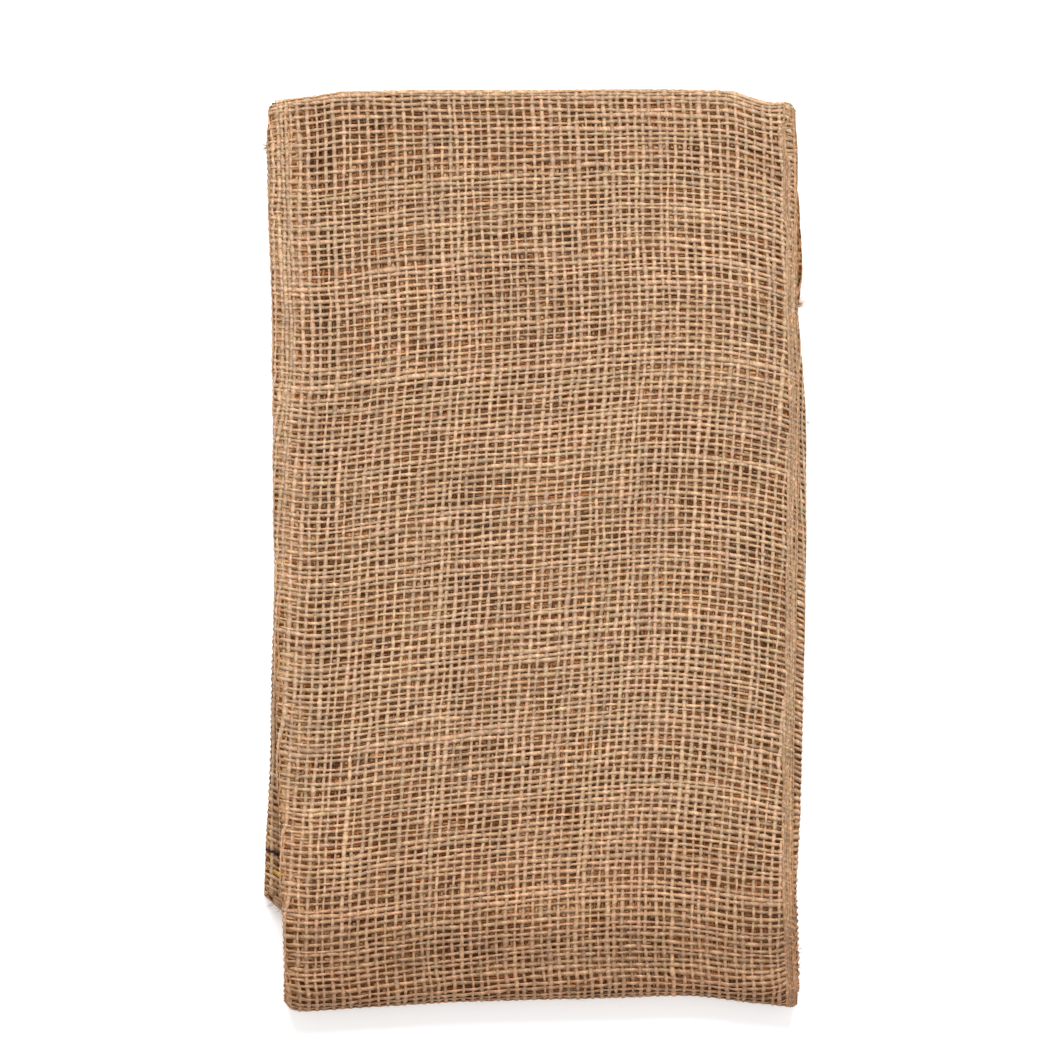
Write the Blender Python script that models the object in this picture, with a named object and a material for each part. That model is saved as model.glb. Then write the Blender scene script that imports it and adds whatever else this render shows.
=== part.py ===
"""Burlap sack, folded flat.

The sack is one length of open jute cloth, folded at the sack's bottom and seamed along both sides. It lies
folded in three across its width, and that strip is then folded in three along its length, so the pack is
eighteen layers of cloth. X runs across the pack, Y along it, and Z up from the surface that it lies on.
"""

import math
from collections import namedtuple

import bmesh
import bpy

# Driving sizes, in metres.
SACK_WIDTH = 0.600
CLOTH_THICKNESS = 0.0010
LAYER_PITCH = 0.0014
TIER_PITCH = 0.0088
CLOTH_COLOUR = (0.442, 0.257, 0.144, 1.0)
CLOTH_ROUGHNESS = 0.95

# The two walls of the sack lie one layer pitch apart, and the three runs across it two pitches apart. The
# outer and inner faces of the cloth lie this far from the middle between the two walls.
OUTER_FACE = (LAYER_PITCH + CLOTH_THICKNESS) / 2
INNER_FACE = (LAYER_PITCH - CLOTH_THICKNESS) / 2
RUN_PITCH = 2 * LAYER_PITCH
TOP_RUN = RUN_PITCH
MIDDLE_RUN = 0.0
BOTTOM_RUN = -RUN_PITCH
LAYERS_IN_TIER = 6

# Heights of the middles of the back, middle and front tiers, and of the two bends that join them.
BACK_TIER = (CLOTH_THICKNESS + (LAYERS_IN_TIER - 1) * LAYER_PITCH) / 2
BEND_RADIUS = TIER_PITCH / 2
UPPER_BEND = BACK_TIER + BEND_RADIUS
LOWER_BEND = UPPER_BEND + TIER_PITCH
PACK_HEIGHT = 2 * TIER_PITCH + 2 * BACK_TIER
BEND_REACH = BEND_RADIUS + BACK_TIER

# Folds in cloth are longer than they are high: each fold's half circle is stretched by these.
SIDE_FOLD_STRETCH = 1.4
END_BEND_STRETCH = 1.3
SIDE_FOLD_REACH = SIDE_FOLD_STRETCH * (RUN_PITCH / 2 + OUTER_FACE)
SEAM_REACH = SIDE_FOLD_STRETCH * OUTER_FACE

# Edges of one tier at a place y along the pack: its left fold, its right fold and its seamed edge.
Edges = namedtuple("Edges", "y left right seam")

FRONT_EDGES = (
    Edges(0.182, -0.1090, 0.1040, 0.1045),
    Edges(0.168, -0.1097, 0.1042, 0.1053),
    Edges(0.132, -0.1084, 0.1046, 0.1050),
    Edges(0.100, -0.1073, 0.1062, 0.1052),
    Edges(0.065, -0.1072, 0.1088, 0.1061),
    Edges(0.010, -0.1067, 0.1092, 0.1053),
    Edges(-0.055, -0.1062, 0.1081, 0.1043),
    Edges(-0.105, -0.1049, 0.1069, 0.1035),
    Edges(-0.135, -0.1040, 0.1055, 0.1036),
    Edges(-0.160, -0.1029, 0.1052, 0.1044),
    Edges(-0.182, -0.1027, 0.1069, 0.1056),
)

MIDDLE_EDGES = (
    Edges(0.182, -0.1072, 0.1040, 0.1010),
    Edges(0.155, -0.1080, 0.1050, 0.1014),
    Edges(0.141, -0.1078, 0.1074, 0.1020),
    Edges(0.1155, -0.1070, 0.1076, 0.1020),
    Edges(0.090, -0.1064, 0.1048, 0.1010),
    Edges(0.010, -0.1060, 0.1070, 0.1000),
    Edges(-0.105, -0.1038, 0.1052, 0.1004),
    Edges(-0.182, -0.1027, 0.1069, 0.1064),
)

BACK_EDGES = (
    Edges(0.182, -0.1072, 0.1040, 0.1010),
    Edges(0.050, -0.1066, 0.1036, 0.0990),
    Edges(-0.024, -0.1073, 0.1030, 0.0984),
    Edges(-0.050, -0.1081, 0.1026, 0.0980),
    Edges(-0.093, -0.1089, 0.1016, 0.0972),
    Edges(-0.121, -0.1104, 0.1004, 0.0964),
    Edges(-0.145, -0.1112, 0.0996, 0.0958),
)

# Lines across the pack, as places y at a place x: the sack's closed bottom end, the outer side of the lower
# bend, and the sack's mouth.
Place = namedtuple("Place", "x y")

CLOSED_END = (
    Place(-0.1100, 0.1785),
    Place(-0.1070, 0.1818),
    Place(-0.1020, 0.1830),
    Place(-0.0900, 0.1842),
    Place(-0.0780, 0.1860),
    Place(0.0000, 0.1866),
    Place(0.0770, 0.1863),
    Place(0.0880, 0.1832),
    Place(0.0950, 0.1816),
    Place(0.1020, 0.1813),
    Place(0.1060, 0.1775),
)

LOWER_BEND_EDGE = (
    Place(-0.1030, -0.1852),
    Place(-0.0990, -0.1865),
    Place(-0.0950, -0.1869),
    Place(-0.0690, -0.1852),
    Place(-0.0300, -0.1830),
    Place(0.0300, -0.1814),
    Place(0.0620, -0.1806),
    Place(0.0860, -0.1833),
    Place(0.0985, -0.1846),
    Place(0.1020, -0.1850),
    Place(0.1045, -0.1846),
    Place(0.1072, -0.1830),
)

MOUTH = (
    Place(-0.1112, -0.1375),
    Place(-0.1075, -0.1425),
    Place(-0.1010, -0.1466),
    Place(-0.0500, -0.1472),
    Place(0.0300, -0.1452),
    Place(0.0990, -0.1462),
)

UPPER_BEND_INSET = 0.0030

# The middle of the footprint that these edges and lines give. The pack is moved so that it lies on the origin.
FOOTPRINT_MIDDLE = (-0.00106, -0.00010)

# The cloth is modelled at these places across a run, the narrower bottom run at the last four of them, and at
# these places along a tier: 0 at the lower bend, 1 at the mouth and 2 at the upper bend.
COLUMNS = (-0.097, -0.089, -0.079, -0.045, 0.000, 0.045, 0.090)
BOTTOM_COLUMNS = COLUMNS[3:]
ROWS_BELOW_MOUTH = (0.30, 0.65)
ROWS_ABOVE_MOUTH = (1.0, 1.10, 1.25, 1.45, 1.65, 1.74, 1.82, 1.90)
SIDE_FOLD_STEPS = 4
END_BEND_STEPS = 6
EDGE_STEPS = 3

# Where layers are missing underneath, the cloth above sinks: beyond the mouth, and left of the bottom runs.
MOUTH_SINK = 0.0072
MOUTH_SINK_LENGTH = 0.031
LEFT_SINK_START = -0.084
LEFT_SINK_LENGTH = 0.022
LEFT_SINK_UNDER = 0.0016
LEFT_SINK_BETWEEN = 0.0030
LEFT_SINK_FADE_Y = -0.135
LEFT_SINK_FADE_LENGTH = 0.027

# Soft rises of the upper layers: the middle of each, its reach along X and Y, and its height.
Rise = namedtuple("Rise", "x y reach_x reach_y height")

RISES = (
    Rise(-0.010, 0.060, 0.075, 0.130, 0.0008),
    Rise(0.055, -0.060, 0.045, 0.090, 0.0006),
    Rise(-0.060, -0.070, 0.035, 0.060, 0.0005),
    Rise(0.100, 0.050, 0.016, 0.120, 0.0004),
    Rise(-0.040, 0.150, 0.050, 0.025, -0.0003),
)


def hermite(places, values, at):
    """A smooth curve through the values at rising places, read at one place and held level past its ends."""
    if at <= places[0]:
        return values[0]
    if at >= places[-1]:
        return values[-1]
    k = max(i for i, place in enumerate(places[:-1]) if place <= at)
    slopes = []
    for i in (k, k + 1):
        before = max(i - 1, 0)
        after = min(i + 1, len(places) - 1)
        slopes.append((values[after] - values[before]) / (places[after] - places[before]))
    span = places[k + 1] - places[k]
    t = (at - places[k]) / span
    start = (1 + 2 * t) * (1 - t) ** 2 * values[k] + t * (1 - t) ** 2 * span * slopes[0]
    finish = t * t * (3 - 2 * t) * values[k + 1] + t * t * (t - 1) * span * slopes[1]
    return start + finish


def line_at(line, x):
    """Place y of a line across the pack at x."""
    return hermite([p.x for p in line], [p.y for p in line], x)


def edges_at(table, y):
    """Left fold, right fold and seamed edge of a tier at y."""
    rows = table[::-1]
    places = [row.y for row in rows]
    left = hermite(places, [row.left for row in rows], y)
    right = hermite(places, [row.right for row in rows], y)
    seam = hermite(places, [row.seam for row in rows], y)
    return Edges(y, left, right, seam)


def ramp(value, length):
    """Smooth rise from 0 to 1 as the value goes from 0 to the length."""
    t = min(max(value / length, 0.0), 1.0)
    return t * t * (3 - 2 * t)


def row_y(x, along):
    """Place y at x of the row `along`: 0 lower bend, 1 mouth, 2 upper bend, 3 closed end."""
    closed_end = line_at(CLOSED_END, x) - SEAM_REACH
    bend_depth = END_BEND_STRETCH * BEND_REACH
    lines = (
        line_at(LOWER_BEND_EDGE, x) + bend_depth,
        line_at(MOUTH, x),
        line_at(CLOSED_END, x) - UPPER_BEND_INSET - bend_depth,
        closed_end,
    )
    k = min(int(along), len(lines) - 2)
    return lines[k] + (along - k) * (lines[k + 1] - lines[k])


def side_fold(centre, outward, level, radius):
    """Half an ellipse around a fold at one side, from its upper end to its lower one."""
    points = []
    for step in range(SIDE_FOLD_STEPS + 1):
        turn = math.pi * step / SIDE_FOLD_STEPS
        x = centre + outward * SIDE_FOLD_STRETCH * radius * math.sin(turn)
        points.append((x, level + radius * math.cos(turn)))
    return points


def wall_section(edges, face):
    """One wall across the folded width, as (x, level) points from the seamed edge to the far edge.

    The face is its distance from the middle between both walls, above zero for the wall on top of the top run.
    """
    left = edges.left + SIDE_FOLD_REACH
    right = edges.right - SIDE_FOLD_REACH
    seam = edges.seam - SEAM_REACH
    fold_length = math.pi * math.hypot(SIDE_FOLD_STRETCH, 1.0) / math.sqrt(2) * RUN_PITCH / 2
    far_edge = right - (SACK_WIDTH - (seam - left) - (right - left) - 2 * fold_length)
    points = [(seam, TOP_RUN + face)]
    points += [(x, TOP_RUN + face) for x in reversed(COLUMNS)]
    points += side_fold(left, -1, RUN_PITCH / 2, RUN_PITCH / 2 + face)
    points += [(x, MIDDLE_RUN - face) for x in COLUMNS]
    points += side_fold(right, 1, -RUN_PITCH / 2, RUN_PITCH / 2 - face)
    points += [(x, BOTTOM_RUN + face) for x in reversed(BOTTOM_COLUMNS)]
    points.append((far_edge, BOTTOM_RUN + face))
    return points


def rounded_edge(centre, outward, level, face):
    """The points between the two walls where they meet in a rounded edge, from the upper wall to the lower."""
    points = []
    for step in range(1, EDGE_STEPS):
        turn = math.pi * step / EDGE_STEPS
        x = centre + outward * SIDE_FOLD_STRETCH * face * math.sin(turn)
        points.append((x, level + face * math.cos(turn)))
    return points


def tube_section(edges, face):
    """Once round the flattened sack, folded in three: one wall, the far edge, the other wall and the seam."""
    near_wall = wall_section(edges, face)
    far_wall = wall_section(edges, -face)
    far_edge = rounded_edge(near_wall[-1][0], -1, BOTTOM_RUN, face)
    seam = rounded_edge(near_wall[0][0], 1, TOP_RUN, face)
    return near_wall + far_edge + far_wall[::-1] + seam[::-1]


# One stop of the folded section on its way along the sack: the edges of its tier, its row, the bend whose
# height and side it follows, how far it has turned round that bend, and how far its walls have closed in.
Stop = namedtuple("Stop", "edges along height toward turn closing")


def stops_along_sack():
    """Stops from the sack's closed bottom, down the front tier, up the middle one and down to the mouth."""
    rows_up = (0.0,) + ROWS_BELOW_MOUTH + ROWS_ABOVE_MOUTH + (2.0,)
    turns = [math.pi * step / END_BEND_STEPS for step in range(1, END_BEND_STEPS)]
    stops = []

    def add(table, along, height, toward, turn, closing=0.0):
        edges = edges_at(table, row_y(0.0, along))
        stops.append(Stop(edges, along, height, toward, turn, closing))

    add(FRONT_EDGES, 3.0, LOWER_BEND, -1, 0.0, math.pi / EDGE_STEPS)
    add(FRONT_EDGES, 3.0, LOWER_BEND, -1, 0.0)
    for along in reversed(rows_up):
        add(FRONT_EDGES, along, LOWER_BEND, -1, 0.0)
    for turn in turns:
        add(MIDDLE_EDGES, 0.0, LOWER_BEND, -1, turn)
    for along in rows_up:
        add(MIDDLE_EDGES, along, LOWER_BEND, -1, math.pi)
    for turn in turns:
        add(BACK_EDGES, 2.0, UPPER_BEND, 1, turn)
    for along in (2.0,) + ROWS_ABOVE_MOUTH[::-1]:
        add(BACK_EDGES, along, UPPER_BEND, 1, math.pi)
    return stops


def sink(x, y, z):
    """Height once the cloth has sunk into the room that missing layers leave below it."""
    to_left = ramp(LEFT_SINK_START - x, LEFT_SINK_LENGTH)
    under = LEFT_SINK_UNDER * to_left
    sunk = z - under * min(max(z / RUN_PITCH, 0.0), 1.0)
    beyond_mouth = ramp(line_at(MOUTH, x) - y, MOUTH_SINK_LENGTH)
    sunk -= (MOUTH_SINK - under) * beyond_mouth * min(max(z / TIER_PITCH, 0.0), 1.0)
    gap_bottom = LOWER_BEND - BEND_RADIUS + RUN_PITCH / 2
    gap_top = LOWER_BEND + BEND_RADIUS - RUN_PITCH / 2
    in_gap = min(max((z - gap_bottom) / (gap_top - gap_bottom), 0.0), 1.0)
    fade = ramp(y - LEFT_SINK_FADE_Y, LEFT_SINK_FADE_LENGTH)
    return sunk - LEFT_SINK_BETWEEN * to_left * fade * in_gap


def swell(x, y, z):
    """Extra height of the upper layers over the pack's soft rises; the lowest layer stays flat."""
    height = 0.0
    for rise in RISES:
        away = ((x - rise.x) / rise.reach_x) ** 2 + ((y - rise.y) / rise.reach_y) ** 2
        height += rise.height * math.exp(-away)
    share = (z - CLOTH_THICKNESS) / (PACK_HEIGHT - CLOTH_THICKNESS)
    return height * max(share, 0.0)


def place_point(point, stop):
    """World place of one (x, level) point of the folded section at its stop."""
    x, level = point
    radius = BEND_RADIUS - stop.toward * level
    y = row_y(x, stop.along) + stop.toward * END_BEND_STRETCH * radius * math.sin(stop.turn)
    z = stop.height + radius * math.cos(stop.turn)
    return (x, y, sink(x, y, z) + swell(x, y, z))


def skin(bm, face):
    """One face of the cloth, outer or inner, lofted along the sack and closed at its bottom end."""
    rings = []
    for stop in stops_along_sack():
        points = tube_section(stop.edges, face * math.cos(stop.closing))
        ring = []
        for point in points:
            x, y, z = place_point(point, stop)
            ring.append(bm.verts.new((x, y + SIDE_FOLD_STRETCH * face * math.sin(stop.closing), z)))
        rings.append(ring)
    for ring, next_ring in zip(rings, rings[1:]):
        bridge(bm, ring, next_ring)
    close_end(bm, rings[0])
    return rings[-1]


def bridge(bm, ring, other):
    """A row of triangles between two rings of as many points.

    Every quad is split along the diagonal that runs up to the right, so that stacked layers bend alike.
    """
    for i in range(len(ring)):
        j = (i + 1) % len(ring)
        across = other[j].co - ring[i].co
        if across.x * across.y > 0:
            bm.faces.new((ring[i], other[i], other[j]))
            bm.faces.new((ring[i], other[j], ring[j]))
        else:
            bm.faces.new((ring[i], other[i], ring[j]))
            bm.faces.new((other[i], other[j], ring[j]))


def close_end(bm, ring):
    """Close the sack's bottom: a row of faces from one wall to the other, and one face at either edge."""
    wall_size = len(ring) // 2 - (EDGE_STEPS - 1)
    far_start = wall_size + EDGE_STEPS - 1
    near_wall = ring[:wall_size]
    far_wall = ring[far_start:far_start + wall_size][::-1]
    for i in range(wall_size - 1):
        bm.faces.new((near_wall[i + 1], near_wall[i], far_wall[i], far_wall[i + 1]))
    bm.faces.new(ring[wall_size - 1:far_start + 1])
    bm.faces.new(ring[far_start + wall_size - 1:] + ring[:1])


def folded_cloth():
    """The folded sack as one closed solid: its outer and inner faces, joined round the mouth."""
    bm = bmesh.new()
    outer_mouth = skin(bm, OUTER_FACE)
    inner_mouth = skin(bm, INNER_FACE)
    bridge(bm, outer_mouth, inner_mouth)
    bmesh.ops.recalc_face_normals(bm, faces=bm.faces)
    bmesh.ops.translate(bm, verts=bm.verts, vec=(-FOOTPRINT_MIDDLE[0], -FOOTPRINT_MIDDLE[1], 0.0))
    mesh = bpy.data.meshes.new("sack")
    bm.to_mesh(mesh)
    bm.free()
    return mesh


def burlap():
    """Light brown jute."""
    material = bpy.data.materials.new("burlap")
    material.use_nodes = True
    shader = material.node_tree.nodes["Principled BSDF"]
    shader.inputs["Base Color"].default_value = CLOTH_COLOUR
    shader.inputs["Roughness"].default_value = CLOTH_ROUGHNESS
    shader.inputs["Metallic"].default_value = 0.0
    return material


def main():
    """Model the sack in a collection of its own."""
    for thing in list(bpy.data.objects):
        bpy.data.objects.remove(thing, do_unlink=True)
    collection = bpy.data.collections.new("burlap sack")
    bpy.context.scene.collection.children.link(collection)
    sack = bpy.data.objects.new("sack", folded_cloth())
    sack.data.materials.append(burlap())
    collection.objects.link(sack)


main()
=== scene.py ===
"""Looks of the burlap sack, folded flat: its cloth as a thin sheet on the folds of the CAD solid, its yarns as
woven threads on the surfaces that show, two marker threads, stray fibres, a pale floor, light and a camera.
X runs across the pack, Y along it, and Z up from the floor, in metres.
"""

import math
from collections import namedtuple

import bmesh
import bpy
import numpy as np
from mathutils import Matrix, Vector


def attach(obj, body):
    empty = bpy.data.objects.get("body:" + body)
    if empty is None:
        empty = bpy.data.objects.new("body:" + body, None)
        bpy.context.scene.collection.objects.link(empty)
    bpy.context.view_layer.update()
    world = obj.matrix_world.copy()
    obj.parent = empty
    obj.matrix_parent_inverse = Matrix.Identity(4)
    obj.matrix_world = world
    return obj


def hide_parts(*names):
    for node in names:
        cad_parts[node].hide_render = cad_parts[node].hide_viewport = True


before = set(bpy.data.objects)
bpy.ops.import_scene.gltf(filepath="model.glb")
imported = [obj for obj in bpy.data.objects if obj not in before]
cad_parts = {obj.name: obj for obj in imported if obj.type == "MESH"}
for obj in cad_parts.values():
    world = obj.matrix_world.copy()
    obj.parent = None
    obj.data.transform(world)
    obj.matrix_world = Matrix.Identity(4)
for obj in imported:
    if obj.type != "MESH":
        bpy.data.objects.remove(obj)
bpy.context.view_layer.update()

# The folded pack, with the same sizes as the CAD solid.
SACK_WIDTH = 0.6
THICKNESS = 0.001
LAYER_PITCH = 0.0014
TIER_PITCH = 0.0088
OUTER_FACE = (LAYER_PITCH + THICKNESS) / 2
RUN_PITCH = 2 * LAYER_PITCH
LAYERS_IN_TIER = 6
BACK_TIER = (THICKNESS + (LAYERS_IN_TIER - 1) * LAYER_PITCH) / 2
BEND_RADIUS = TIER_PITCH / 2
UPPER_BEND = BACK_TIER + BEND_RADIUS
LOWER_BEND = UPPER_BEND + TIER_PITCH
PACK_HEIGHT = 2 * TIER_PITCH + 2 * BACK_TIER
BEND_REACH = BEND_RADIUS + BACK_TIER
FOLD_STRETCH = 1.4
BEND_STRETCH = 1.3
FOLD_REACH = FOLD_STRETCH * (RUN_PITCH / 2 + OUTER_FACE)
SEAM_REACH = FOLD_STRETCH * OUTER_FACE
FOLD_LENGTH = math.pi * math.hypot(FOLD_STRETCH, 1.0) / math.sqrt(2) * RUN_PITCH / 2
UPPER_BEND_INSET = 0.003
FOOT_MIDDLE = (-0.00106, -0.0001)

# Edges of a tier at places y along the pack: y, and x of its left fold, its right fold and its seamed edge.
FRONT_EDGES = (
    (0.182, -0.109, 0.104, 0.1045), (0.168, -0.1097, 0.1042, 0.1053), (0.132, -0.1084, 0.1046, 0.105),
    (0.1, -0.1073, 0.1062, 0.1052), (0.065, -0.1072, 0.1088, 0.1061), (0.01, -0.1067, 0.1092, 0.1053),
    (-0.055, -0.1062, 0.1081, 0.1043), (-0.105, -0.1049, 0.1069, 0.1035), (-0.135, -0.104, 0.1055, 0.1036),
    (-0.16, -0.1029, 0.1052, 0.1044), (-0.182, -0.1027, 0.1069, 0.1056),
)

MIDDLE_EDGES = (
    (0.182, -0.1072, 0.104, 0.101), (0.155, -0.108, 0.105, 0.1014), (0.141, -0.1078, 0.1074, 0.102),
    (0.1155, -0.107, 0.1076, 0.102), (0.09, -0.1064, 0.1048, 0.101), (0.01, -0.106, 0.107, 0.1),
    (-0.105, -0.1038, 0.1052, 0.1004), (-0.182, -0.1027, 0.1069, 0.1064),
)

BACK_EDGES = (
    (0.182, -0.1072, 0.104, 0.101), (0.05, -0.1066, 0.1036, 0.099), (-0.024, -0.1073, 0.103, 0.0984),
    (-0.05, -0.1081, 0.1026, 0.098), (-0.093, -0.1089, 0.1016, 0.0972), (-0.121, -0.1104, 0.1004, 0.0964),
    (-0.145, -0.1112, 0.0996, 0.0958),
)

# Lines across the pack, as places x and y.
CLOSED_END = (
    (-0.11, 0.1785), (-0.107, 0.1818), (-0.102, 0.183), (-0.09, 0.1842), (-0.078, 0.186), (0.0, 0.1866),
    (0.077, 0.1863), (0.088, 0.1832), (0.095, 0.1816), (0.102, 0.1813), (0.106, 0.1775),
)

LOWER_BEND_EDGE = (
    (-0.103, -0.1852), (-0.099, -0.1865), (-0.095, -0.1869), (-0.069, -0.1852), (-0.03, -0.183), (0.03, -0.1814),
    (0.062, -0.1806), (0.086, -0.1833), (0.0985, -0.1846), (0.102, -0.185), (0.1045, -0.1846), (0.1072, -0.183),
)

MOUTH = (
    (-0.1112, -0.1375), (-0.1075, -0.1425), (-0.101, -0.1466), (-0.05, -0.1472), (0.03, -0.1452), (0.099, -0.1462),
)

# Where layers are missing underneath, the cloth above sinks: beyond the mouth, and left of the bottom runs.
MOUTH_SINK = 0.0072
MOUTH_SINK_LENGTH = 0.031
LEFT_SINK_START = -0.084
LEFT_SINK_LENGTH = 0.022
LEFT_SINK_UNDER = 0.0016
LEFT_SINK_BETWEEN = 0.003
LEFT_SINK_FADE_Y = -0.135
LEFT_SINK_FADE_LENGTH = 0.027

# Soft rises of the upper layers: x and y of the middle, reach along X and Y, and height.
RISES = (
    (-0.01, 0.06, 0.075, 0.13, 0.0008), (0.055, -0.06, 0.045, 0.09, 0.0006),
    (-0.06, -0.07, 0.035, 0.06, 0.0005), (0.1, 0.05, 0.016, 0.12, 0.0004),
    (-0.04, 0.15, 0.05, 0.025, -0.0003),
)

# How far the sheet's faces lie from the middle between the sack's two walls, and swell out round the side folds
# and at the closed end, to fill what shows between the yarns there.
SHEET_OUTER = 0.00062
SHEET_INNER = 0.00022
FOLD_SWELL = 0.00032
END_SWELL = 0.00035

# Lengths of cloth round the closed end, round a bend between two tiers, and where the edges go over from the
# front tier's to the middle tier's.
END_LENGTH = 0.0045
BEND_LENGTH = 0.0299
EDGE_CHANGE = BEND_LENGTH / 8

WARP_PITCH = 0.00352
WEFT_PITCH = 0.00255

# Where the front tier starts to turn round the lower bend, at the middle of the pack.
LOWER_START = -0.1713

# Slope of the front's wefts, in degrees up to the right, at places across it and, for each row, y along it.
SLOPE_PLACES = (-0.111, -0.096, -0.08, -0.064, -0.048, -0.023, 0.002, 0.034, 0.05, 0.066, 0.082, 0.098, 0.106)
WEFT_SLOPES = {
    -0.182: (-30, -8, 6, 8, 6.4, 5.7, 4.6, 2.6, -3.2, -4, -3, 14, 40),
    -0.16: (-24, -2, 7.6, 8, 6.4, 5.7, 4.6, 2.6, -3.2, -7.3, -9, 6, 30),
    -0.095: (-22, -6, 7.4, 6.9, 6.9, 5, 5.2, 4.4, -1.6, -6.7, -10.7, -13, -18),
    -0.014: (-23, -5, 7.5, 6.5, 6.3, 3.8, 4.9, 4.4, 0.2, -5.4, -8.5, -16, -24),
    0.083: (-14, -1, 6, 8.3, 6.6, 3.6, 5, 4.9, 1.5, -3, -8.6, -16, -26),
    0.17: (-6, 1, 6, 6, 4, 2, 2, 1, -2, -6, -10, -20, -34),
}

# Lean of the front's warps, in degrees to the left on the way down, at places y.
LEAN_PLACES = (-0.16, -0.127, -0.095, -0.079, -0.062, -0.046, -0.014, 0.019, 0.051, 0.083, 0.1, 0.114, 0.128, 0.17)
WARP_LEANS = (3.0, 3.2, 4.0, 1.5, 3.5, 2.5, 1.5, 1.0, 4.0, 4.5, 0.0, -2.0, -1.5, -1.0)


def curve_at(places, values, at):
    """A smooth curve through the values at rising places, held level past its ends."""
    places, values = np.asarray(places, float), np.asarray(values, float)
    last = len(places) - 1
    before = np.maximum(np.arange(last + 1) - 1, 0)
    after = np.minimum(np.arange(last + 1) + 1, last)
    slopes = (values[after] - values[before]) / (places[after] - places[before])
    at = np.clip(at, places[0], places[-1])
    k = np.clip(np.searchsorted(places, at, side="right") - 1, 0, last - 1)
    span = places[k + 1] - places[k]
    t = (at - places[k]) / span
    start = (1 + 2 * t) * (1 - t) ** 2 * values[k] + t * (1 - t) ** 2 * span * slopes[k]
    finish = t * t * (3 - 2 * t) * values[k + 1] + t * t * (t - 1) * span * slopes[k + 1]
    return start + finish


def line_at(line, x):
    """Places y of a line across the pack at x."""
    return curve_at(*zip(*line), x)


def edges_at(table, y):
    """Left fold, right fold and seamed edge of a tier at y."""
    places, *edges = zip(*table[::-1])
    return np.array([curve_at(places, edge, y) for edge in edges])


def ramp(value, length):
    """Smooth rise from 0 to 1 over a length."""
    t = np.clip(value / length, 0.0, 1.0)
    return t * t * (3 - 2 * t)


def lower_line(x):
    """Where the front tier starts to turn round the lower bend."""
    return line_at(LOWER_BEND_EDGE, x) + BEND_STRETCH * BEND_REACH


def upper_line(x):
    """Where the middle tier starts to turn round the upper bend."""
    return line_at(CLOSED_END, x) - UPPER_BEND_INSET - BEND_STRETCH * BEND_REACH


def end_line(x):
    """Where the front tier starts to close at the sack's bottom."""
    return line_at(CLOSED_END, x) - SEAM_REACH


def pack_lines(x):
    """Places y at x of the lower bend, the mouth, the upper bend and the closed end."""
    return np.array([lower_line(x), line_at(MOUTH, x), upper_line(x), end_line(x)])


def flat_ends(edges):
    """Places x where a tier's flat parts end, by its left fold, right fold and seamed edge."""
    left, right, seam = edges
    return left + FOLD_REACH, right - FOLD_REACH, seam - SEAM_REACH


def run_lengths(edges):
    """Lengths of the flat parts of the top and the middle run."""
    left, right, seam = flat_ends(edges)
    return seam - left, right - left


def across(u, edges, face):
    """x and level of the place u along a wall of the folded section, from its seamed edge.

    The face is its distance from the middle between the walls, above zero for the wall on top in the top run.
    """
    left, right, seam = flat_ends(edges)
    top, middle = run_lengths(edges)
    over_left = u - top
    on_middle = over_left - FOLD_LENGTH
    over_right = on_middle - middle
    on_bottom = over_right - FOLD_LENGTH
    seam_turn = np.clip(-u / END_LENGTH, 0, 1) * np.pi
    left_turn = np.clip(over_left / FOLD_LENGTH, 0, 1) * np.pi
    right_turn = np.clip(over_right / FOLD_LENGTH, 0, 1) * np.pi
    near, far = RUN_PITCH / 2 + face, RUN_PITCH / 2 - face
    parts = [u < 0, over_left < 0, on_middle < 0, over_right < 0, on_bottom < 0]
    x = [
        seam + FOLD_STRETCH * np.abs(face) * np.sin(seam_turn),
        seam - u,
        left - FOLD_STRETCH * near * np.sin(left_turn),
        left + on_middle,
        right + FOLD_STRETCH * far * np.sin(right_turn),
        right - on_bottom,
    ]
    level = [
        RUN_PITCH + face * np.cos(seam_turn),
        RUN_PITCH + face,
        RUN_PITCH / 2 + near * np.cos(left_turn),
        -face,
        -RUN_PITCH / 2 + far * np.cos(right_turn),
        face - RUN_PITCH,
    ]
    return np.select(parts, x[:-1], x[-1]), np.select(parts, level[:-1], level[-1])


def settle(x, y, z):
    """Places of the cloth once it has sunk where layers are missing below it, with the soft rises."""
    to_left = ramp(LEFT_SINK_START - x, LEFT_SINK_LENGTH)
    under = LEFT_SINK_UNDER * to_left
    beyond_mouth = ramp(line_at(MOUTH, x) - y, MOUTH_SINK_LENGTH)
    gap_bottom = LOWER_BEND - BEND_RADIUS + RUN_PITCH / 2
    gap_top = LOWER_BEND + BEND_RADIUS - RUN_PITCH / 2
    in_gap = np.clip((z - gap_bottom) / (gap_top - gap_bottom), 0, 1)
    fade = ramp(y - LEFT_SINK_FADE_Y, LEFT_SINK_FADE_LENGTH)
    sunk = z - under * np.clip(z / RUN_PITCH, 0, 1)
    sunk -= (MOUTH_SINK - under) * beyond_mouth * np.clip(z / TIER_PITCH, 0, 1)
    sunk -= LEFT_SINK_BETWEEN * to_left * fade * in_gap
    share = np.maximum((z - THICKNESS) / (PACK_HEIGHT - THICKNESS), 0)
    for rise_x, rise_y, reach_x, reach_y, height in RISES:
        away = ((x - rise_x) / reach_x) ** 2 + ((y - rise_y) / reach_y) ** 2
        sunk = sunk + share * height * np.exp(-away)
    return np.stack([x - FOOT_MIDDLE[0], y - FOOT_MIDDLE[1], sunk], axis=-1)


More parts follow.
